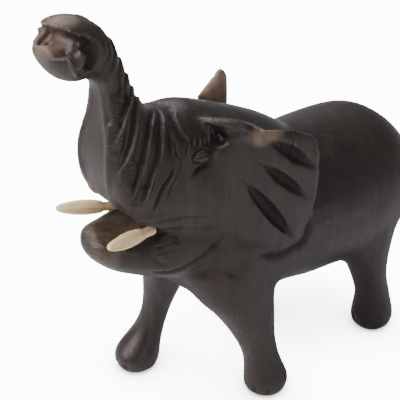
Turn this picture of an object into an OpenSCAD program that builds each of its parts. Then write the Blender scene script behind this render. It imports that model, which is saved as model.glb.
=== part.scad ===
// Carved elephant, walking with its trunk raised.
// The animal is one block of dark hardwood. Two bone tusks are separate pieces, each with a
// round tenon glued into a socket drilled under the upper lip.
// Frame: the elephant faces -Y, its left side is +X, it stands on Z = 0, and the origin is
// on the floor under the middle of its outline. Units are millimetres.

/* [Whole carving] */
// Height from the floor to the top of the trunk
overall_height = 207.5; // [150:0.5:300]
// How far the middle of the outline lies behind the middle of the front feet
outline_middle = 31.4; // [20:0.2:40]
// Points round each section of the body
body_facets = 32; // [16:4:48]
// Sections between two given sections
section_steps = 3; // [1:1:5]

/* [Ears] */
// Thickness of an ear plate
ear_thickness = 6.4; // [4:0.2:10]
// Depth of the gouged lines in an ear
ear_groove_depth = 1.6; // [0.5:0.1:2.5]

/* [Tusks] */
// Length of a tusk in front of its socket
tusk_length = 20.5; // [15:0.5:35]
// Thickest part of a tusk, across
tusk_width = 6.8; // [4:0.2:10]
// Sideways lean of a tusk
tusk_spread = 14; // [0:1:30]
// Upward lean of a tusk
tusk_rise = 13; // [0:1:30]
// Diameter of the drilled socket
socket_diameter = 4.2; // [3:0.1:6]
// Depth of the drilled socket, from the start of the visible tusk
socket_depth = 8; // [4:0.5:12]
// Glue gap between the tenon and the socket, on the radius
glue_gap = 0.05; // [0.02:0.01:0.2]

/* [Feet] */
// Depth of the notches between the toes
toe_notch = 1; // [0.4:0.1:2]

/* [Hidden] */
// Height at which every size in this file is drawn
drawn_height = 207.5;
leg_facets = 20;
blade_facets = 20;
tusk_facets = 8;
// Room left between a tusk and the lip that it comes out under, on the diameter
tusk_room = 1;
// Gap between the end of the tenon and the bottom of its socket
tenon_gap = 0.4;
// Place of the socket mouth on the +X side
socket_mouth = [14.2, -44, 111.6];
// Share of the tusk length and share of its width, root to tip
tusk_profile = [
    [0, 0.76],
    [0.12, 0.9],
    [0.36, 1],
    [0.6, 0.93],
    [0.8, 0.74],
    [0.94, 0.5],
    [1, 0.32],
];
// Root of the notch in the trunk tip: y, z; then its outline seen from the side, with minus
// forward; how far it slants to the side; and a width that spans the whole trunk
tip_notch = [-62, 198.5];
notch_outline = [[0, 0], [-9.5, 7.5], [-14, 11.5], [-20, 11.5], [-20, -3.5]];
notch_slant = 12;
notch_span = 50;
// Details cut or raised on the +X side and mirrored: pairs of end points, then sizes
nostril = [[4.5, -71, 196], [6.5, -65, 197]];
nostril_width = 4;
lip = [[12, -51, 125], [20, -24, 114.5]];
lip_height = 14;
lip_bulge = 5;
eye_corners = [[21.5, -22.5, 143.6], [22.5, -13, 142.6]];
eye_height = 6.4;
eye_bulge = 2.6;
eye_crease = [[23.6, -26, 138], [23.6, -14.5, 141]];
eye_crease_width = 2;
left_fold = [[12, -12, 153.5], [30, 5, 150.5]];
right_fold = [[14, -14, 147.5], [28, 6, 138]];
fold_height = 7;
fold_bulge = 3;
// Wood that joins the ear to the neck behind the fold
left_ear_root = [[12, 3, 145], [33, 8, 144.5]];
ear_root_width = 13;
ear_root_height = 5.6;
fold_hollow = [[19, -12, 148], [27, -1, 147.5]];
hollow_height = 6;
hollow_depth = 2.2;
ear_gouges = [
    [[33.5, 8, 146], [38.5, 37, 123]],
    [[33.5, 5, 135.5], [38, 31, 110]],
    [[31, -2, 128.5], [36, 26, 89]],
];
ear_groove_width = 4;
toe_turn = 38;
toe_height = 8;
lens_facets = 10;

// Body sections along the back: y, z, half width, height above, height below
body_rows = [
    [-24, 92, 10, 10, 12],
    [-16, 91, 24, 24, 22],
    [-4, 88, 31, 31, 28],
    [14, 84, 34, 40, 33],
    [34, 82, 35, 44, 33.5],
    [54, 80.5, 36.5, 43.5, 37],
    [78, 80, 38, 42.8, 38.5],
    [102, 80, 37, 40.5, 35],
    [117, 80, 31, 31.5, 29],
    [127, 80, 20, 20, 18],
    [132, 80, 7, 7, 8],
];

// Head and trunk sections, from the neck to the tip: y, z, half width, above, below
head_rows = [
    [54, 98, 22, 22, 14, 2],
    [40, 103, 25, 26, 22, 2],
    [24, 110, 27, 29.5, 26, 2],
    [8, 115, 28, 32.5, 32, 2],
    [-10, 121, 27.5, 34, 28, 2.2],
    [-24, 130, 25.5, 32.5, 21, 2.8],
    [-34, 140, 21.3, 28.5, 23, 4],
    [-40, 150, 17, 19.5, 17.6, 4.6],
    [-43, 160, 13.2, 12, 11.5, 4.2],
    [-45, 170, 10.6, 9, 7.4, 3.2],
    [-46.5, 179, 9.2, 7, 7, 2.2],
    [-50, 186.5, 10.3, 7, 9.5, 2.2],
    [-54.5, 192.5, 12.8, 8.6, 13, 2.2],
    [-60, 196, 14, 10.2, 14.5, 2.2],
    [-66, 196.8, 13.7, 10.8, 13.4, 2],
    [-71, 197.6, 12, 9.4, 10.2, 2],
    [-74.5, 198, 7.8, 6.6, 6.4, 2],
];

// Lower jaw sections, from the throat to the lip
jaw_rows = [
    [8, 92, 23.5, 24, 16],
    [-12, 94, 24.5, 28, 17],
    [-27, 95.5, 23, 25, 17],
    [-38, 98.5, 20, 16.5, 14],
    [-49, 103, 16.8, 8, 11.8],
    [-57, 107, 11.5, 5.5, 8.2],
    [-61, 109.5, 5, 2.5, 4],
];

// Hollow of the lower lip
spoon_rows = [
    [-32, 114, 8, 6, 3],
    [-39, 113.5, 12, 8, 5],
    [-47, 114, 12.5, 9, 5.8],
    [-55, 116, 9, 8, 5],
    [-59.5, 118, 4, 4, 3],
];

// Ear sections, front to back: outward from the middle, y, bottom, top, thickness share
left_ear_rows = [
    [20, -14, 112, 140, 0.7],
    [25, -5, 101, 147.5, 1],
    [29, 4, 93.5, 150, 1.05],
    [31.5, 13, 90, 148.5, 1],
    [33, 22, 89, 146, 1],
    [34, 30, 90, 142.5, 0.95],
    [34.8, 36, 97, 138.5, 0.8],
    [35, 39.5, 108, 133, 0.55],
];
right_ear_rows = [
    [20, -14, 110, 128, 0.7],
    [25, -5, 101, 132, 1],
    [29, 4, 94, 134, 1.05],
    [31.5, 13, 91, 134, 1],
    [33.5, 22, 90, 134, 1],
    [34.5, 29, 92, 136, 1],
    [35.6, 37, 97, 141, 1],
    [36, 42.5, 104, 145, 0.95],
    [36.3, 46.5, 116, 140.5, 0.75],
];

// Leg sections from the floor up: x, y, z, half width, half length
right_front_leg = [
    [-27.4, -19.9, 0, 9.5, 10.5],
    [-27.4, -19.9, 3, 11.3, 12],
    [-27.4, -19.5, 9, 11.6, 12.2],
    [-27.2, -15, 16, 9.7, 9.6],
    [-26.4, -9.5, 26, 8, 7.6],
    [-25.4, -5.5, 40, 8.8, 8.8],
    [-23.5, -2.5, 54, 11.3, 12.5],
    [-20, 0, 68, 15, 19],
    [-16, 4, 84, 17, 22],
];
left_front_leg = [
    [27.4, 19, 0, 9.5, 9.8],
    [27.4, 19, 3, 11.2, 11.4],
    [27.4, 19, 9, 11.4, 11.6],
    [26.8, 17.8, 16, 9.8, 10],
    [25.8, 15.5, 26, 9.2, 9.4],
    [24.5, 11.5, 40, 10.4, 12],
    [23, 7.5, 54, 13, 16],
    [20, 2.5, 68, 15, 22],
    [16.5, 1, 84, 17, 25],
];
left_hind_leg = [
    [27.7, 98.2, 0, 9.5, 10],
    [27.7, 98.2, 3, 11, 11.6],
    [27.7, 98.2, 9, 11.4, 11.8],
    [27.5, 98, 16, 10.2, 10.4],
    [27, 95.5, 26, 9.2, 9.6],
    [25.5, 92, 40, 10.8, 10.8],
    [23.5, 90, 54, 14, 15.5],
    [20, 92, 68, 17, 20],
    [16, 96, 84, 19, 23],
];
right_hind_leg = [
    [-20, 50, 0, 9.5, 10.5],
    [-20, 50, 3, 11.4, 12.4],
    [-20, 50.5, 9, 12, 13],
    [-20.5, 52, 16, 11, 12],
    [-21.5, 57, 26, 10.5, 12],
    [-23, 66, 40, 12.5, 15.5],
    [-23, 77, 54, 15.5, 20],
    [-20, 88, 68, 18, 24],
    [-16, 94, 84, 19, 26],
];

// Tail, carved in relief on the rump: y, z, half width, outward, inward
tail_rows = [
    [124, 101, 4, 3, 6],
    [130.6, 95, 3.6, 3, 4],
    [134, 85, 3, 2.5, 4],
    [133.6, 74, 2.7, 2.5, 4],
    [131.4, 64, 3.4, 3, 4],
    [128.4, 56, 2, 2, 3],
];

function between(a, b, c, d, t) =
    0.5 * (2 * b + (c - a) * t + (2 * a - 5 * b + 4 * c - d) * t * t
        + (3 * b - a - 3 * c + d) * t * t * t);

function smooth(rows, steps) = let (last = len(rows) - 1) concat(
    [for (i = [0:last - 1]) for (k = [0:steps - 1])
        between(rows[max(i - 1, 0)], rows[i], rows[i + 1], rows[min(i + 2, last)], k / steps)],
    [rows[last]]);

function rounded(value, power) = sign(value) * pow(abs(value), 2 / power);

// Ring square to a path in the middle plane; above and below may differ, and the sides and
// underside may be squarer than an ellipse
function path_ring(rows, i, facets) = let (
    row = rows[i],
    ahead = rows[min(i + 1, len(rows) - 1)],
    behind = rows[max(i - 1, 0)],
    step = [ahead[0] - behind[0], ahead[1] - behind[1]],
    run = step / norm(step),
    forward = run[0] < 0 ? -1 : 1,
    upward = forward * [-run[1], run[0]],
    power = len(row) > 5 ? row[5] : 2)
    [for (k = [0:facets - 1]) let (
        a = forward * 360 * k / facets,
        reach = sin(a) > 0 ? row[3] * sin(a) : row[4] * rounded(sin(a), power),
        width = row[2] * (sin(a) > 0 ? cos(a) : rounded(cos(a), power)))
        [width, row[0] + upward[0] * reach, row[1] + upward[1] * reach]];

// Closed skin over a list of rings, all with the same number of points
module skin(rings) {
    facets = len(rings[0]);
    last = len(rings) - 1;
    walls = [for (r = [0:last - 1]) for (k = [0:facets - 1]) let (n = (k + 1) % facets)
        [r * facets + k, r * facets + n, (r + 1) * facets + n, (r + 1) * facets + k]];
    first_cap = [for (k = [facets - 1:-1:0]) k];
    last_cap = [for (k = [0:facets - 1]) last * facets + k];
    polyhedron([for (ring = rings) for (p = ring) p], concat([first_cap, last_cap], walls));
}

module along_path(rows, facets, steps) {
    fine = smooth(rows, steps);
    skin([for (i = [0:len(fine) - 1]) path_ring(fine, i, facets)]);
}

module leg(rows) {
    skin([for (row = smooth(rows, 2)) [for (k = [0:leg_facets - 1])
        let (a = -360 * k / leg_facets)
        [row[0] + row[3] * cos(a), row[1] + row[4] * sin(a), max(row[2], 0)]]]);
}

// One ear on the +X side: an upright plate with its face square to its run
module ear(rows) {
    fine = smooth(rows, 2);
    last = len(fine) - 1;
    skin([for (i = [0:last]) let (
        row = fine[i],
        step = fine[min(i + 1, last)] - fine[max(i - 1, 0)],
        face = [step[1], -step[0]] / norm([step[0], step[1]]))
        [for (k = [0:blade_facets - 1]) let (
            a = 360 * k / blade_facets,
            off = ear_thickness / 2 * row[4] * rounded(cos(a), 2.6))
            [row[0] + face[0] * off, row[1] + face[1] * off,
                (row[2] + row[3]) / 2 + (row[3] - row[2]) / 2 * rounded(sin(a), 2.6)]]]);
}

// Lens shape between two points: a swelling when added, the groove of a gouge when cut.
// Its depth lies across the elephant, along X.
module lens(start, end, width, depth) {
    run = end - start;
    translate((start + end) / 2)
        rotate([0, acos(run[2] / norm(run)), atan2(run[1], run[0])])
            scale([depth, width / 2, norm(run) / 2])
                sphere(1, $fn = lens_facets);
}

// The same shape on both sides of the animal
module both_sides() {
    children();
    mirror([1, 0, 0])
        children();
}

// Axes with +Z out of the tusk socket on the +X side
module at_socket() {
    translate(socket_mouth)
        rotate([0, 0, tusk_spread])
            rotate([90 - tusk_rise, 0, 0])
                children();
}

// Every mass of the animal before the hollows are cut
module masses() {
    along_path(body_rows, body_facets, section_steps);
    along_path(head_rows, body_facets, section_steps);
    along_path(jaw_rows, blade_facets, section_steps);
    along_path(tail_rows, tusk_facets, 2);
    for (rows = [right_front_leg, left_front_leg, left_hind_leg, right_hind_leg])
        leg(rows);
    ear(left_ear_rows);
    mirror([1, 0, 0])
        ear(right_ear_rows);
    both_sides() {
        lens(eye_corners[0], eye_corners[1], eye_height, eye_bulge);
        lens(lip[0], lip[1], lip_height, lip_bulge);
    }
    lens(left_fold[0], left_fold[1], fold_height, fold_bulge);
    lens(left_ear_root[0], left_ear_root[1], ear_root_width, ear_root_height);
    mirror([1, 0, 0])
        lens(right_fold[0], right_fold[1], fold_height, fold_bulge);
}

// Notch between the two lobes of the trunk tip, with a nostril on each side of it
module trunk_opening() {
    translate([0, tip_notch[0], tip_notch[1]])
        rotate([90, 0, 90 + notch_slant])
            linear_extrude(notch_span, center = true)
                polygon(notch_outline);
    both_sides()
        lens(nostril[0], nostril[1], nostril_width, nostril_width);
}

// Notches between the toes, round the front of one foot
module toe_notches(foot) {
    for (turn = [-toe_turn, 0, toe_turn])
        translate([foot[0] + foot[3] * sin(turn), foot[1] - foot[4] * cos(turn), 0])
            lens([0, 0, -toe_height / 2], [0, 0, toe_height], 2 * toe_notch, 2 * toe_notch);
}

// Everything the carver cut into the block after roughing it out
module hollows() {
    along_path(spoon_rows, blade_facets, 2);
    trunk_opening();
    for (rows = [right_front_leg, left_front_leg, left_hind_leg, right_hind_leg])
        toe_notches(rows[2]);
    both_sides() {
        for (cut = ear_gouges)
            lens(cut[0], cut[1], ear_groove_width, 2 * ear_groove_depth);
        lens(fold_hollow[0], fold_hollow[1], hollow_height, hollow_depth);
        lens(eye_crease[0], eye_crease[1], eye_crease_width, eye_crease_width);
    }
}

// Moves and scales the drawn animal to its own frame
module placed() {
    scale(overall_height / drawn_height)
        translate([0, -outline_middle, 0])
            children();
}

module wooden_body() {
    color([0.07, 0.05, 0.05])
        placed()
            difference() {
                resize([0, 0, drawn_height], auto = true)
                    difference() {
                        masses();
                        hollows();
                    }
                both_sides()
                    at_socket() {
                        translate([0, 0, -socket_depth])
                            cylinder(h = socket_depth + 1, d = socket_diameter);
                        cylinder(h = tusk_length, d = tusk_width + tusk_room);
                    }
            }
}

// Tusk whittled with a knife: flat facets, thickest a third of the way out
module tusk() {
    at_socket() {
        skin([for (row = tusk_profile) [for (k = [0:tusk_facets - 1])
            let (a = -360 * (k + 0.5) / tusk_facets)
            [tusk_width / 2 * row[1] * cos(a), tusk_width / 2 * row[1] * sin(a),
                tusk_length * row[0]]]]);
        translate([0, 0, tenon_gap - socket_depth])
            cylinder(h = socket_depth, r = socket_diameter / 2 - glue_gap);
    }
}

module left_tusk() {
    color([0.9, 0.86, 0.72])
        placed()
            tusk();
}

module right_tusk() {
    color([0.9, 0.86, 0.72])
        placed()
            mirror([1, 0, 0])
                tusk();
}

wooden_body();
left_tusk();
right_tusk();
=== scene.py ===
import math

import bpy
import numpy as np
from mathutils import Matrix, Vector, noise


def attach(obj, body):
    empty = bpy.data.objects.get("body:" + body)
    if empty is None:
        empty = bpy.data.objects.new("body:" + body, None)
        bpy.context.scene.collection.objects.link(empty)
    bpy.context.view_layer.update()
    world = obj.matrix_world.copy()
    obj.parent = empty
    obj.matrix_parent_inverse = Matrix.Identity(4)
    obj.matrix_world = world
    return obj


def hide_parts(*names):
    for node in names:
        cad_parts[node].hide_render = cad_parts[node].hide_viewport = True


MM = 0.001

# Size of the faces of the body's skin, before the head is made finer
SKIN_FACE = 1.45 * MM
# Points closer than this are one point
SAME_POINT = 0.01 * MM
# Wood that closes the window which the body leaves under the fold of the left ear
EAR_ROOT_MIDDLE = (22 * MM, -31.5 * MM, 148.3 * MM)
EAR_ROOT_RADII = (8 * MM, 5 * MM, 3.4 * MM)
# Share of the faces kept when the smooth parts are thinned
KEPT_FACES = 0.55
# Height of the uneven hand finish
HAND_FINISH = 0.45 * MM
# Deepest cut and highest ridge that the strokes may add up to
DEEPEST_CUT = -3.2 * MM
HIGHEST_RIDGE = 1.8 * MM

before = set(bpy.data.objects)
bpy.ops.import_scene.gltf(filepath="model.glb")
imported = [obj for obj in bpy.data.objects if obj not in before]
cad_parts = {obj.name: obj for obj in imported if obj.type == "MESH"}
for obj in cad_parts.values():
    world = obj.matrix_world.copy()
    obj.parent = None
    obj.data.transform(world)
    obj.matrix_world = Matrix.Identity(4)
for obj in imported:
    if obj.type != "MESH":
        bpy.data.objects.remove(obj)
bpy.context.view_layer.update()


# ---------------------------------------------------------------- mesh helpers

def settle(obj):
    """Makes obj the only selected and active object."""
    for other in bpy.context.selected_objects:
        other.select_set(False)
    obj.select_set(True)
    bpy.context.view_layer.objects.active = obj


def apply(obj, modifier):
    settle(obj)
    bpy.ops.object.modifier_apply(modifier=modifier.name)


def points_of(obj):
    co = np.empty(len(obj.data.vertices) * 3, np.float32)
    obj.data.vertices.foreach_get("co", co)
    return co.reshape(-1, 3).astype(float)


def normals_of(obj):
    no = np.empty(len(obj.data.vertices) * 3, np.float32)
    obj.data.vertices.foreach_get("normal", no)
    return no.reshape(-1, 3).astype(float)


def edges_of(obj):
    pairs = np.empty(len(obj.data.edges) * 2, np.int32)
    obj.data.edges.foreach_get("vertices", pairs)
    return pairs.reshape(-1, 2)


def put_points(obj, co):
    obj.data.vertices.foreach_set("co", co.astype(np.float32).ravel())
    obj.data.update()


def spread(values, pairs, count):
    """Mean of each vertex's neighbours."""
    total = np.zeros((len(values), values.shape[1]))
    for axis in range(values.shape[1]):
        total[:, axis] = np.bincount(pairs[:, 0], values[pairs[:, 1], axis], len(values))
        total[:, axis] += np.bincount(pairs[:, 1], values[pairs[:, 0], axis], len(values))
    return total / count[:, None]


def relax(obj, share, rounds):
    """Smooths the surface. share is 0 to 1 at each vertex."""
    co = points_of(obj)
    pairs = edges_of(obj)
    count = np.maximum(np.bincount(pairs.ravel(), minlength=len(co)), 1)
    for _ in range(rounds):
        co += 0.5 * share[:, None] * (spread(co, pairs, count) - co)
    put_points(obj, co)


def ramp(value, low, high):
    t = np.clip((value - low) / (high - low), 0, 1)
    return t * t * (3 - 2 * t)


def mark(obj, name, values):
    attribute = obj.data.attributes.new(name, "FLOAT", "POINT")
    attribute.data.foreach_set("value", np.clip(values, 0, 1).astype(np.float32))


# ---------------------------------------------------------------- carved body

def blank_body():
    """The carved body's solid as an even skin of small faces."""
    body = bpy.data.objects.new("carved_body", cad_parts["wooden_body"].data.copy())
    body.data.materials.clear()
    bpy.context.scene.collection.objects.link(body)
    settle(body)
    bpy.ops.object.mode_set(mode="EDIT")
    bpy.ops.mesh.select_all(action="SELECT")
    bpy.ops.mesh.remove_doubles(threshold=SAME_POINT)
    bpy.ops.object.mode_set(mode="OBJECT")
    bpy.ops.mesh.primitive_uv_sphere_add(segments=24, ring_count=16, location=EAR_ROOT_MIDDLE)
    root = bpy.context.object
    root.scale = EAR_ROOT_RADII
    bpy.ops.object.transform_apply(location=True, rotation=False, scale=True)
    root.select_set(True)
    body.select_set(True)
    bpy.context.view_layer.objects.active = body
    bpy.ops.object.join()
    skin = body.modifiers.new("skin", "REMESH")
    skin.mode = "VOXEL"
    skin.voxel_size = SKIN_FACE
    apply(body, skin)
    return body


def is_face(co, no):
    """Head, trunk and ears, where the carving is finer."""
    front = (co[:, 2] > 106 * MM) & (co[:, 1] < -34 * MM) & (np.abs(no[:, 2]) < 0.96)
    ear = (np.abs(co[:, 0]) > 28 * MM) & (co[:, 2] > 84 * MM)
    ear &= (co[:, 1] < 14 * MM) & (co[:, 1] > -34 * MM)
    return front | ear


def is_wrinkled(co, no):
    """Sides of the trunk, and the eyes and brows, where it is finest."""
    folds = (co[:, 2] > 126 * MM) & (co[:, 2] < 190 * MM)
    folds &= (co[:, 1] < -64 * MM) & (np.abs(no[:, 0]) > 0.6)
    brow = (np.abs(co[:, 0]) > 17 * MM) & (co[:, 2] > 141 * MM) & (co[:, 2] < 156 * MM)
    brow &= (co[:, 1] < -34 * MM) & (co[:, 1] > -60 * MM)
    return folds | brow


def refine(body, chosen):
    """Splits in four the faces that chosen picks by their middle and normal."""
    settle(body)
    mesh = body.data
    middle = np.empty(len(mesh.polygons) * 3, np.float32)
    normal = np.empty(len(mesh.polygons) * 3, np.float32)
    mesh.polygons.foreach_get("center", middle)
    mesh.polygons.foreach_get("normal", normal)
    picked = chosen(middle.reshape(-1, 3).astype(float), normal.reshape(-1, 3).astype(float))
    bpy.ops.object.mode_set(mode="EDIT")
    bpy.ops.mesh.select_mode(type="FACE")
    bpy.ops.mesh.select_all(action="DESELECT")
    bpy.ops.object.mode_set(mode="OBJECT")
    mesh.polygons.foreach_set("select", picked)
    bpy.ops.object.mode_set(mode="EDIT")
    bpy.ops.mesh.subdivide(number_cuts=1)
    bpy.ops.object.mode_set(mode="OBJECT")


def thin_out(body, share, ratio):
    """Fewer faces where share is over a half, as on the smooth barrel and legs."""
    group = body.vertex_groups.new(name="smooth_parts")
    for index in np.nonzero(share > 0.5)[0].tolist():
        group.add([index], 1.0, "REPLACE")
    fewer = body.modifiers.new("fewer", "DECIMATE")
    fewer.ratio = ratio
    fewer.vertex_group = group.name
    apply(body, fewer)
    body.vertex_groups.clear()


def trace(skin, points, gap=0.6):
    """Samples every gap mm along a smooth line through points (mm), laid onto the skin."""
    knots = [Vector(p) * MM for p in points]
    knots = [2 * knots[0] - knots[1]] + knots + [2 * knots[-1] - knots[-2]]
    places, normals = [], []
    for a, b, c, d in zip(knots, knots[1:], knots[2:], knots[3:]):
        steps = max(2, int((c - b).length / (gap * MM)))
        for k in range(steps):
            t = k / steps
            p = 0.5 * (2 * b + (c - a) * t + (2 * a - 5 * b + 4 * c - d) * t * t
                       + (3 * b - a - 3 * c + d) * t ** 3)
            found, place, normal, _ = skin.closest_point_on_mesh(p)
            if found:
                places.append(place)
                normals.append(normal)
    places, normals = np.array(places), np.array(normals)
    for _ in range(4):
        normals[1:-1] = (normals[:-2] + normals[1:-1] * 2 + normals[2:]) / 4
        places[1:-1] = (places[:-2] + places[1:-1] * 2 + places[2:]) / 4
    normals /= np.linalg.norm(normals, axis=1)[:, None]
    return places, normals


class Carving:
    """Cuts kept as heights along the normals of one starting surface."""

    def __init__(self, obj):
        self.obj = obj
        self.co = points_of(obj)
        self.no = normals_of(obj)
        self.height = np.zeros(len(self.co))
        # Share of cut at each vertex: it makes the wood rougher, and it makes the colour darker as painted
        # shade in cuts, folds and hollows
        self.cut = np.zeros(len(self.co))

    def near(self, places, normals, reach):
        """Vertices beside a line: their index, place along it 0 to 1, and signed offset across."""
        low, high = places.min(0) - reach, places.max(0) + reach
        index = np.nonzero(np.all((self.co > low) & (self.co < high), axis=1))[0]
        if not len(index):
            return index, index, index, index
        away = self.co[index][:, None, :] - places[None]
        best = (away ** 2).sum(2).argmin(1)
        away = away[np.arange(len(index)), best]
        normal = normals[best]
        run = np.gradient(places, axis=0)
        run /= np.linalg.norm(run, axis=1)[:, None]
        run = run[best]
        side = np.cross(normal, run)
        across = (away * side).sum(1)
        over = np.abs((away * normal).sum(1))
        beyond = (away * run).sum(1)
        keep = (over < 4 * MM) & ((self.no[index] * normal).sum(1) > 0.1)
        return index[keep], (best / (len(places) - 1))[keep], across[keep], beyond[keep]

    def groove(self, points, width, depth, ends=0.5, sharp=1.0, both=True):
        """A gouge cut: width and depth in mm; ends is the share over which it comes to a point."""
        for turn in ((1, -1) if both else (1,)):
            line = [(p[0] * turn, p[1], p[2]) for p in points]
            places, normals = trace(self.obj, line)
            index, share, across, beyond = self.near(places, normals, width * MM)
            if not len(index):
                continue
            fade = ramp(np.minimum(share, 1 - share), -0.02, max(ends, 0.01))
            half = width / 2 * MM * (0.35 + 0.65 * fade)
            off = np.sqrt(across ** 2 + np.where((share < 0.01) | (share > 0.99), beyond, 0) ** 2)
            cut = np.clip(1 - off / half, 0, 1) ** sharp * depth * MM * (0.15 + 0.85 * fade)
            self.height[index] -= cut
            self.cut[index] = np.maximum(self.cut[index], np.clip(cut / (0.8 * MM), 0, 1))

    def fold(self, points, reach, depth, side=-1, ends=0.25, lift=0.35, both=True):
        """An overlapping fold of skin: a sharp drop on one side of the line that rises again."""
        for turn in ((1, -1) if both else (1,)):
            line = [(p[0] * turn, p[1], p[2]) for p in points]
            places, normals = trace(self.obj, line)
            index, share, across, beyond = self.near(places, normals, reach * MM)
            if not len(index):
                continue
            fade = ramp(np.minimum(share, 1 - share), -0.02, ends)
            off = across * side * turn
            inside = np.abs(beyond) < 1.2 * MM
            low = np.clip(1 - off / (reach * MM), 0, 1) ** 1.6 * ramp(off, -0.25 * MM, 0.65 * MM)
            crest = np.exp(-((off + 0.5 * MM) / (0.7 * MM)) ** 2)
            change = (-low * depth + crest * lift) * MM * fade * inside
            self.height[index] += change
            self.cut[index] = np.maximum(self.cut[index], np.clip(-change / (1.2 * MM), 0, 1))

    def hatch(self, points, width, pitch=1.3, depth=0.3, both=True):
        """Rows of short nicks across a band."""
        for turn in ((1, -1) if both else (1,)):
            places, normals = trace(self.obj, [(p[0] * turn, p[1], p[2]) for p in points])
            index, share, across, beyond = self.near(places, normals, width * MM)
            if not len(index):
                continue
            length = np.linalg.norm(np.diff(places, axis=0), axis=1).sum()
            inside = 1 - ramp(np.abs(across), 0.3 * width * MM, 0.55 * width * MM)
            inside *= ramp(np.minimum(share, 1 - share), 0, 0.08) * (np.abs(beyond) < 1.5 * MM)
            wave = 0.5 + 0.5 * np.cos(2 * math.pi * (share * length + 0.35 * across) / (pitch * MM))
            self.height[index] -= wave ** 2 * inside * depth * MM
            self.cut[index] = np.maximum(self.cut[index], 0.6 * inside)

    def press(self, centre, radii, depth, both=True, painted_shade=0.0):
        """A rounded hollow (or with a negative depth, a swelling). All sizes in mm. The last argument darkens
        its middle as painted shade.
        """
        for turn in ((1, -1) if both else (1,)):
            middle = np.array((centre[0] * turn, centre[1], centre[2])) * MM
            away = (self.co - middle) / (np.array(radii) * MM)
            weight = np.exp(-(away ** 2).sum(1) * 1.5)
            outward = self.no[:, 0] * turn > -0.2
            self.height -= np.where(outward, weight, 0) * depth * MM
            if painted_shade:
                self.cut = np.maximum(self.cut, np.where(outward, ramp(weight, 0.3, 0.9), 0) * painted_shade)

    def finish(self):
        height = np.clip(self.height, DEEPEST_CUT, HIGHEST_RIDGE)
        put_points(self.obj, self.co + self.no * height[:, None])
        relax(self.obj, np.full(len(self.co), 0.35), 1)


body = blank_body()
co = points_of(body)
headward = ramp(co[:, 2], 78 * MM, 90 * MM)
headward *= 1 - ramp(co[:, 1] + 0.9 * (co[:, 2] - 110 * MM), 20 * MM, 40 * MM)
earward = ramp(np.abs(co[:, 0]), 24 * MM, 28 * MM) * ramp(co[:, 2], 84 * MM, 92 * MM)
earward *= 1 - ramp(co[:, 1], 14 * MM, 18 * MM)
foot = 1 - ramp(co[:, 2], 6 * MM, 14 * MM)
tail = 1 - ramp(np.abs(co[:, 0]), 5 * MM, 9 * MM)
tail *= ramp(co[:, 1], 84 * MM, 96 * MM) * ramp(co[:, 2], 40 * MM, 50 * MM)
kept_crisp = np.maximum.reduce([0.8 * headward, 0.97 * earward, 0.9 * tail]) + 0.6 * foot
relax(body, 1 - np.clip(kept_crisp, 0, 1), 30)
thin_out(body, ((co[:, 2] < 82 * MM) | (co[:, 1] > 16 * MM)) & (tail < 0.1), KEPT_FACES)
refine(body, is_face)
relax(body, np.full(len(body.data.vertices), 0.6), 2)
refine(body, is_wrinkled)
relax(body, is_wrinkled(points_of(body), normals_of(body)).astype(float), 2)
settle(body)
bpy.ops.object.mode_set(mode="EDIT")
bpy.ops.mesh.select_all(action="SELECT")
bpy.ops.mesh.quads_convert_to_tris()
bpy.ops.object.mode_set(mode="OBJECT")

knife = Carving(body)
# Uneven hand finish: the knife and sandpaper leave broad shallow flats
hand = np.array([noise.noise(Vector(p) * 55) + 0.5 * noise.noise(Vector(p) * 130) for p in knife.co])
knife.height += hand * HAND_FINISH * (1 - 0.6 * ramp(knife.co[:, 2], 84 * MM, 96 * MM))
# Folds across the trunk, from its back down to the front edge, highest first
knife.fold([(0, -85, 206), (6, -87, 204), (10, -85, 201), (13, -85, 196), (13, -87, 191), (10, -90, 187)],
           5, 1.2, side=1, ends=0.06)
knife.fold([(0, -78, 195), (6, -80, 196), (9, -80, 192), (10, -81, 187), (8, -83, 182)], 4.5, 1.0)
knife.fold([(0, -73, 186), (6, -76, 187), (9, -77, 182), (9, -78, 176), (8, -82, 172)], 4.5, 1.0)
knife.fold([(0, -70, 178), (6, -73, 180), (9, -75, 177), (10, -74, 172), (11, -77, 168), (11, -82, 162)],
           4.5, 1.1)
knife.fold([(0, -67, 172), (6, -70, 174), (10, -74, 172), (12, -78, 166), (12, -81, 161), (11, -85, 155)],
           4.5, 1.2)
knife.fold([(0, -64, 164), (5, -67, 169), (9, -70, 169), (11, -73, 165), (14, -76, 158), (15, -81, 150),
            (13, -86, 142)], 5, 1.6)
knife.fold([(0, -60, 159), (4, -60, 158), (10, -66, 158), (14, -69, 156), (17, -74, 148), (19, -80, 137),
            (16, -83, 129)], 5.5, 1.8)
knife.fold([(0, -55, 157), (6, -57, 157), (14, -63, 154), (18, -67, 148), (20, -73, 139), (20, -77, 131),
            (18, -80, 125)], 6, 1.7)
knife.fold([(1, -49, 157), (6, -51, 156), (10, -53, 155), (16, -54, 152), (19, -52, 149)], 5, 1.5, ends=0.1)
knife.groove([(13, -59, 155), (17, -61, 150), (19, -64, 145)], 4, 2.0)
knife.groove([(20, -61, 145), (22, -65, 139), (22, -70, 134), (21, -75, 123)], 2.6, 1.2, ends=0.3)
knife.groove([(20, -57, 146), (22, -60, 141), (22, -65, 135), (22, -70, 126)], 1.6, 0.6, ends=0.3)
knife.groove([(11, -76, 168), (13, -80, 158), (13, -84, 148)], 1.5, 0.6, ends=0.3)
knife.groove([(12, -72, 163), (15, -76, 154), (15, -81, 145)], 1.5, 0.6, ends=0.3)
knife.groove([(16, -71, 153), (18, -76, 144), (18, -80, 134)], 1.5, 0.6, ends=0.3)
knife.groove([(18, -66, 150), (20, -71, 141), (20, -76, 130)], 1.5, 0.6, ends=0.3)
knife.hatch([(7, -80, 176), (9, -80, 170), (10, -82, 164)], 5)
knife.hatch([(10, -84, 163), (11, -85, 157), (12, -85, 150)], 5)
knife.hatch([(13, -83, 150), (15, -82, 144), (15, -83, 137)], 5)
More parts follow.
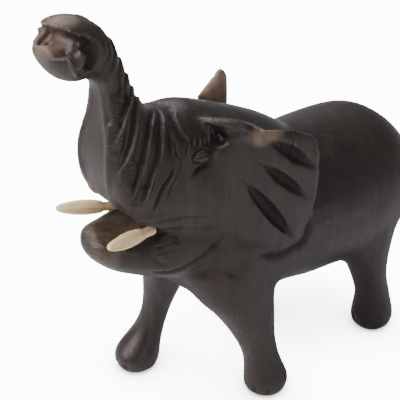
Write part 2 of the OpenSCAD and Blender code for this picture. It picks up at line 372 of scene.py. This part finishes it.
knife.hatch([(17, -79, 142), (18, -80, 134), (17, -82, 128)], 4)
knife.hatch([(14, -66, 157), (18, -67, 150), (20, -70, 142)], 2.5)
# Crisp edge between the flat front of the trunk and its sides, running on into the lip
knife.groove([(3, -84, 177), (5, -84, 166), (9, -86, 155), (10, -87, 146), (9, -87, 137), (7, -85, 130)],
             5, -0.9, ends=0.2)
knife.groove([(6, -84, 129), (11, -81, 123), (16, -76, 119), (20, -70, 117), (23, -58, 114), (25, -46, 110)],
             3.2, -0.7, ends=0.1)
knife.groove([(9, -84, 124), (14, -79, 120), (20, -71, 120), (24, -57, 118), (26, -46, 114)],
             2.6, 0.5, ends=0.2)
# Leaf-shaped gouges in the ears
knife.groove([(32, -24, 146), (34, -13, 138), (35, -4, 130), (37, 5, 123)], 7, 2.2, ends=0.5)
knife.groove([(33, -27, 136), (33, -17, 127), (35, -8, 118), (37, 0, 109)], 5.4, 2.2, ends=0.4)
knife.groove([(30, -34, 130), (31, -25, 117), (32, -16, 104), (34, -4, 88)], 6.4, 2.4, ends=0.45)
knife.groove([(34, -11, 147), (34, -10, 140), (34, -10, 133)], 1.2, 0.8, ends=0.1)
# The ear stands clear of the flank
knife.groove([(36, 7, 143), (39, 9, 134), (39, 9, 122), (39, 8, 108), (38, 5, 94), (35, 0, 85), (35, -14, 84),
              (33, -26, 89)], 6, 1.6, ends=0.1)
# Fold at the top of the ear, with a shallow three-cornered hollow under it that is painted as shade
knife.press((20, -40, 149.5), (3.5, 5, 2.5), 0, both=False, painted_shade=1.0)
knife.press((25, -36, 148.5), (5, 6, 2.5), -0.6, both=False, painted_shade=1.0)
knife.press((23, -42, 145.5), (3, 4, 3), -0.3, both=False, painted_shade=1.0)
knife.press((24, -33, 151), (8, 8, 4), -0.8, both=False)
knife.groove([(16, -43, 154), (21, -39, 153.5), (26, -35, 152.5), (30, -29, 150.5)],
             3, -1, ends=0.15, both=False)
knife.groove([(17, -42, 153), (18, -42, 149), (21, -44, 145)], 2.2, -0.9, ends=0.3, both=False)
# Brow, with short upright gouges in front of the eye
knife.groove([(16, -58, 152), (19, -60, 147), (20, -59, 144)], 1.4, 0.8, ends=0.3)
knife.groove([(19, -53, 149), (21, -56, 146), (21, -57, 144)], 1.4, 0.8, ends=0.3)
knife.groove([(18, -50, 150), (20, -53, 146)], 1.9, 1.2)
knife.groove([(19, -47, 150), (21, -50, 146)], 1.9, 1.2)
knife.groove([(19, -45, 149), (21, -47, 146)], 1.8, 1.1)
# Eye: lids, slit between them, crease under it
knife.press((22.5, -49.5, 142.5), (3, 4, 2.2), -0.8)
knife.groove([(23, -55, 143), (22, -52, 145.5), (22, -48, 146), (23, -44, 144)], 1.6, 1.1, ends=0.1)
knife.groove([(23, -55, 143), (23, -51, 140.5), (24, -47, 140.5), (24, -44, 143)], 1.6, 0.9, ends=0.1)
knife.groove([(23, -54, 143.2), (24, -50, 143.4), (24, -46, 143.6)], 1.2, 0.7, ends=0.2)
knife.groove([(24, -57, 136), (23, -52, 138), (24, -48, 139.5), (24, -43, 142)], 3.4, 1.8, ends=0.4)
# Valley between the cheek and the ear plate
knife.press((26, -45, 127), (6, 3, 20), 0.9)
# Jaw: corner of the mouth, creases on the chest
knife.groove([(20, -75, 104), (20, -70, 97), (21, -64, 93)], 2.6, 0.6, ends=0.3)
knife.groove([(17, -75, 93), (20, -67, 90), (23, -59, 91), (25, -47, 96), (26, -40, 102)], 3.4, 1.2, ends=0.2)
knife.groove([(27, -44, 86), (31, -40, 84), (34, -34, 78)], 3, 0.9)
# Trunk tip: a pad on each side, a recess behind it, and the corner of the lower lobe
knife.groove([(8, -93, 199), (12, -92, 198), (14, -92, 196), (14, -94, 192), (13, -96, 189)],
             6.5, 3.4, ends=0.12)
# Painted shade in the recess behind the pad
knife.press((13, -92, 197), (3, 3, 4), 1.0, painted_shade=1.0)
knife.groove([(10, -97, 199), (12, -97, 197), (12, -97.5, 194), (11, -99, 191)], 3.4, -1.5, ends=0.15)
knife.press((8, -99, 196), (3, 3, 3), -0.8)
knife.groove([(6, -98, 200), (7, -101, 198), (6, -104, 194)], 3, 1.6, ends=0.2)
# Painted shade in this hollow at the tip
knife.press((5, -99, 201), (4, 4, 2.5), 0.8, painted_shade=0.8)
knife.groove([(12, -102, 196), (12, -100, 191), (11, -98, 186)], 2.6, -0.9, ends=0.15)
# Tail: clear of the rump on both sides, with a tuft of nicked hair
knife.groove([(4.5, 94.5, 102), (4.4, 98, 92), (4.2, 100.6, 82), (4, 99.5, 70), (4.4, 94, 60)],
             2.6, 0.8, ends=0.2)
for x in (-2, 0, 2):
    knife.groove([(x, 105, 72), (x * 1.1, 104, 65), (x, 101, 57)], 1.2, 0.6, ends=0.3, both=False)
# Short slots along the flank
knife.groove([(36, 14, 81), (36, 17, 91)], 1.4, 0.7)
knife.groove([(36, 21, 80), (36, 25, 91)], 1.2, 0.5)
# Toes
for x, y in ((27, -12), (-27, -51), (28, 67), (-20, 19)):
    for turn in (-52, -18, 18, 52):
        a = math.radians(turn)
        out = (x + 12 * math.sin(a), y - 12 * math.cos(a))
        toe = [(out[0], out[1], 1), (out[0], out[1], 5), (out[0], out[1] + 1, 9)]
        knife.groove(toe, 3.2, 1.3, both=False)
knife.finish()

# Marks the finish needs: cuts and creases (made darker as painted shade), raised edges (paler from wear and
# as a painted highlight), paler sapwood
pairs = edges_of(body)
co = points_of(body)
count = np.maximum(np.bincount(pairs.ravel(), minlength=len(co)), 1)
lean = spread(co, pairs, count) - co
span = np.linalg.norm(co[pairs[:, 0]] - co[pairs[:, 1]], axis=1)
span = (np.bincount(pairs[:, 0], span, len(co)) + np.bincount(pairs[:, 1], span, len(co))) / count
bulge = -(lean * normals_of(body)).sum(1) / span
for _ in range(2):
    bulge = 0.5 * bulge + 0.5 * spread(bulge[:, None], pairs, count)[:, 0]
mark(body, "cut", knife.cut)
mark(body, "edge", ramp(bulge, 0.04, 0.22))
mark(body, "crease_painted_shade", ramp(-bulge, 0.03, 0.2))
SAPWOOD = (((33, -24, 147.5), (5, 9, 4), 0.6), ((-36, 10, 138), (10, 12, 20), 1.3),
           ((-4, -102, 199), (10, 7, 9), 0.5), ((0, -98, 207), (8, 6, 3), 0.5),
           ((0, -80, 110), (13, 12, 6), 0.3), ((8, -91, 104), (8, 6, 7), 0.2))
sapwood = np.zeros(len(co))
for centre, radii, strength in SAPWOOD:
    away = (co - np.array(centre) * MM) / (np.array(radii) * MM)
    sapwood = np.maximum(sapwood, strength * (1 - ramp((away ** 2).sum(1), 0.1, 1.9)))
mark(body, "sapwood", sapwood)
HATCHED = (((8, -80, 170), (4, 4, 5)), ((11, -84, 158), (4, 4, 8)), ((15, -81, 144), (4, 4, 7)),
           ((18, -78, 133), (4, 4, 5)), ((18, -66, 103), (4, 6, 6)), ((4, -92, 106), (8, 5, 5)))
hatched = np.zeros(len(co))
for centre, radii in HATCHED:
    for turn in (1, -1):
        away = (co - np.array((centre[0] * turn, centre[1], centre[2])) * MM) / (np.array(radii) * MM)
        hatched = np.maximum(hatched, 1 - ramp((away ** 2).sum(1), 0.5, 1.4))
mark(body, "hatched", hatched)

# ---------------------------------------------------------------- materials


class Finish:
    """Builds one material's nodes."""

    def __init__(self, name):
        self.material = bpy.data.materials.new(name)
        self.material.use_nodes = True
        self.tree = self.material.node_tree
        self.shader = self.tree.nodes["Principled BSDF"]

    def node(self, kind, **inputs):
        made = self.tree.nodes.new(kind)
        for name, value in inputs.items():
            self.put(made, name.replace("_", " "), value)
        return made

    def put(self, node, name, value):
        socket = node.inputs[name]
        if isinstance(value, bpy.types.NodeSocket):
            self.tree.links.new(value, socket)
        else:
            socket.default_value = value

    def mapped(self, scale):
        place = self.node("ShaderNodeTexCoord").outputs["Object"]
        return self.node("ShaderNodeMapping", Vector=place, Scale=scale).outputs["Vector"]

    def noise(self, scale, stretch=(1, 1, 1), detail=4.0, rough=0.5, twist=0.0):
        made = self.node("ShaderNodeTexNoise", Vector=self.mapped(stretch), Scale=scale,
                         Detail=detail, Roughness=rough, Distortion=twist)
        return made.outputs["Fac"]

    def attribute(self, name):
        made = self.node("ShaderNodeAttribute")
        made.attribute_name = name
        return made.outputs["Fac"]

    def range(self, value, low, high, start=0.0, end=1.0):
        made = self.node("ShaderNodeMapRange")
        for slot, number in zip(("Value", "From Min", "From Max", "To Min", "To Max"),
                                (value, low, high, start, end)):
            self.put(made, slot, number)
        return made.outputs["Result"]

    def maths(self, kind, a, b):
        made = self.node("ShaderNodeMath")
        made.operation = kind
        self.put(made, 0, a)
        self.put(made, 1, b)
        return made.outputs["Value"]

    def mix(self, share, a, b):
        made = self.node("ShaderNodeMix")
        made.data_type = "RGBA"
        for slot, value in ((0, share), (6, a), (7, b)):
            self.put(made, slot, value)
        return made.outputs[2]

    def bump(self, height, distance, strength=1.0, under=None):
        made = self.node("ShaderNodeBump", Height=height, Distance=distance, Strength=strength)
        if under is not None:
            self.put(made, "Normal", under)
        return made.outputs["Normal"]


def hardwood():
    f = Finish("dark_hardwood")
    grain = f.noise(260, (1, 1, 0.05), 5, 0.6)
    clouds = f.noise(22, (1, 1, 0.35), 3, 0.5)
    pores = f.noise(900, (1, 1, 0.06), 2, 0.5)
    marks = f.noise(140, (1, 0.5, 0.35), 3, 0.6, 0.6)
    streak = f.noise(95, (1, 1, 0.03), 2, 0.5)
    cut, edge, crease_painted_shade, sap = (f.attribute(n) for n in ("cut", "edge", "crease_painted_shade", "sapwood"))
    colour = f.mix(f.range(grain, 0.35, 0.7), (0.0085, 0.0068, 0.0066, 1), (0.020, 0.0155, 0.0145, 1))
    colour = f.mix(f.range(clouds, 0.42, 0.72, 0, 0.6), colour, (0.026, 0.0175, 0.0135, 1))
    colour = f.mix(f.range(streak, 0.62, 0.74, 0, 0.35), colour, (0.055, 0.042, 0.032, 1))
    # Painted shade: cuts, folds and hollows are made darker where their shadow falls
    colour = f.mix(f.maths("MULTIPLY", cut, 0.8), colour, (0.010, 0.0062, 0.005, 1))
    # Painted shade: concave creases and folds are made darker as their shadow
    colour = f.mix(f.maths("MULTIPLY", crease_painted_shade, 0.5), colour, (0.006, 0.005, 0.005, 1))
    # Convex edges paler: polish rubbed off by wear, and a painted highlight on the rims, kept out of the cuts
    worn_and_painted_highlight = f.maths("MULTIPLY", edge, f.range(marks, 0.3, 0.65, 0.25, 1.0))
    worn_and_painted_highlight = f.maths("MULTIPLY", worn_and_painted_highlight, f.range(cut, 0.3, 0.8, 1.0, 0.1))
    colour = f.mix(f.maths("MULTIPLY", worn_and_painted_highlight, 0.5), colour, (0.10, 0.082, 0.072, 1))
    pale = f.maths("MULTIPLY", sap, f.range(marks, 0.3, 0.6, 0.4, 1.0))
    tone = f.mix(f.range(grain, 0.35, 0.65), (0.20, 0.145, 0.10, 1), (0.36, 0.235, 0.165, 1))
    colour = f.mix(pale, colour, tone)
    f.put(f.shader, "Base Color", colour)
    rough = f.range(clouds, 0.3, 0.7, 0.36, 0.5)
    rough = f.maths("ADD", rough, f.range(pores, 0.4, 0.7, -0.03, 0.08))
    rough = f.maths("ADD", rough, f.maths("MULTIPLY", cut, 0.25))
    rough = f.maths("SUBTRACT", rough, f.maths("MULTIPLY", edge, 0.08))
    f.put(f.shader, "Roughness", rough)
    f.put(f.shader, "Specular IOR Level", 0.5)
    f.put(f.shader, "Specular Tint", (1.0, 0.84, 0.84, 1))
    normal = f.bump(marks, 0.0006, 0.35)
    nicks = f.noise(420, (0.35, 0.35, 1.6), 2, 0.4, 0.4)
    normal = f.bump(f.maths("MULTIPLY", nicks, f.attribute("hatched")), 0.0012, 0.9, normal)
    normal = f.bump(grain, 0.0002, 0.35, normal)
    normal = f.bump(pores, 0.00006, 0.5, normal)
    f.put(f.shader, "Normal", normal)
    return f.material


def bone():
    f = Finish("bone")
    grain = f.noise(500, (1, 0.15, 1), 4, 0.6)
    blotch = f.noise(120, (1, 0.6, 1), 3, 0.5)
    fine = f.noise(1500, (1, 0.3, 1), 2, 0.5)
    colour = f.mix(f.range(grain, 0.35, 0.7), (0.90, 0.62, 0.32, 1), (1.0, 0.82, 0.52, 1))
    colour = f.mix(f.range(blotch, 0.5, 0.72, 0, 0.6), colour, (0.60, 0.40, 0.20, 1))
    f.put(f.shader, "Base Color", colour)
    f.put(f.shader, "Roughness", f.range(blotch, 0.3, 0.7, 0.45, 0.62))
    normal = f.bump(grain, 0.0003, 0.4)
    normal = f.bump(fine, 0.0001, 0.3, normal)
    f.put(f.shader, "Normal", normal)
    f.put(f.shader, "Subsurface Weight", 0.08)
    f.put(f.shader, "Subsurface Scale", 0.002)
    return f.material


wood = hardwood()
body.data.materials.append(wood)
for face in body.data.polygons:
    face.use_smooth = True
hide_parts("wooden_body")
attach(body, "root")

# ---------------------------------------------------------------- tusks

ivory = bone()
for node_name, name in (("left_tusk", "left_tusk_bone"), ("right_tusk", "right_tusk_bone")):
    tusk = bpy.data.objects.new(name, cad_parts[node_name].data.copy())
    tusk.data.materials.clear()
    bpy.context.scene.collection.objects.link(tusk)
    settle(tusk)
    bpy.ops.object.mode_set(mode="EDIT")
    bpy.ops.mesh.select_all(action="SELECT")
    bpy.ops.mesh.remove_doubles(threshold=SAME_POINT)
    bpy.ops.object.mode_set(mode="OBJECT")
    tusk.data.materials.append(ivory)
    for face in tusk.data.polygons:
        face.use_smooth = False
    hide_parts(node_name)
    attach(tusk, "root")

# ---------------------------------------------------------------- stage

bpy.ops.mesh.primitive_plane_add(size=8, location=(0, 0, 0))
floor = bpy.context.object
floor.name = "floor"
paper = Finish("white_paper")
paper.put(paper.shader, "Base Color", (0.9, 0.9, 0.9, 1))
paper.put(paper.shader, "Roughness", 0.9)
# Painted shadow: the floor the camera sees glows white, and ambient occlusion dims it near the feet as a
# contact shadow
painted_contact_shadow = paper.node("ShaderNodeAmbientOcclusion", Distance=0.05)
glow = paper.node("ShaderNodeEmission", Strength=paper.range(painted_contact_shadow.outputs["AO"], 0.35, 1.0, 1.2, 13.0))
seen = paper.node("ShaderNodeLightPath").outputs["Is Camera Ray"]
blend = paper.node("ShaderNodeMixShader")
paper.put(blend, 0, seen)
paper.put(blend, 1, paper.shader.outputs["BSDF"])
paper.put(blend, 2, glow.outputs["Emission"])
sheet = paper.tree.nodes["Material Output"]
paper.put(sheet, "Surface", blend.outputs["Shader"])
floor.data.materials.append(paper.material)

world = bpy.data.worlds.new("studio")
world.use_nodes = True
backdrop = world.node_tree.nodes["Background"]
backdrop.inputs["Color"].default_value = (1, 1, 1, 1)
look = world.node_tree.nodes.new("ShaderNodeLightPath")
level = world.node_tree.nodes.new("ShaderNodeMapRange")
level.inputs["To Min"].default_value = 0.3
level.inputs["To Max"].default_value = 13
world.node_tree.links.new(look.outputs["Is Camera Ray"], level.inputs["Value"])
world.node_tree.links.new(level.outputs["Result"], backdrop.inputs["Strength"])
bpy.context.scene.world = world


def softbox(name, place, aim, size, power):
    lamp = bpy.data.lights.new(name, "AREA")
    lamp.shape = "SQUARE"
    lamp.size = size
    lamp.energy = power
    holder = bpy.data.objects.new(name, lamp)
    holder.location = place
    holder.rotation_euler = (Vector(aim) - Vector(place)).to_track_quat("-Z", "Y").to_euler()
    bpy.context.scene.collection.objects.link(holder)


softbox("softbox_front", (-0.45, -1.0, 0.75), (0, 0, 0.1), 0.7, 12)
softbox("softbox_back", (-0.95, 0.3, 1.15), (0, 0, 0.12), 1.0, 12)
softbox("softbox_top", (-0.1, -0.75, 1.2), (0, 0, 0.12), 0.8, 10)
softbox("softbox_side", (1.1, -0.3, 0.5), (0, 0, 0.1), 0.6, 2.5)

eye_point = Vector((0.27713, -0.26431, 0.33023))
look_at = Vector((-0.02963, -0.00691, 0.080))
camera_data = bpy.data.cameras.new("camera")
camera_data.lens = 85
camera_data.sensor_width = 36
camera = bpy.data.objects.new("camera", camera_data)
camera.location = eye_point
camera.rotation_euler = (look_at - eye_point).to_track_quat("-Z", "Y").to_euler()
bpy.context.scene.collection.objects.link(camera)
bpy.context.scene.camera = camera
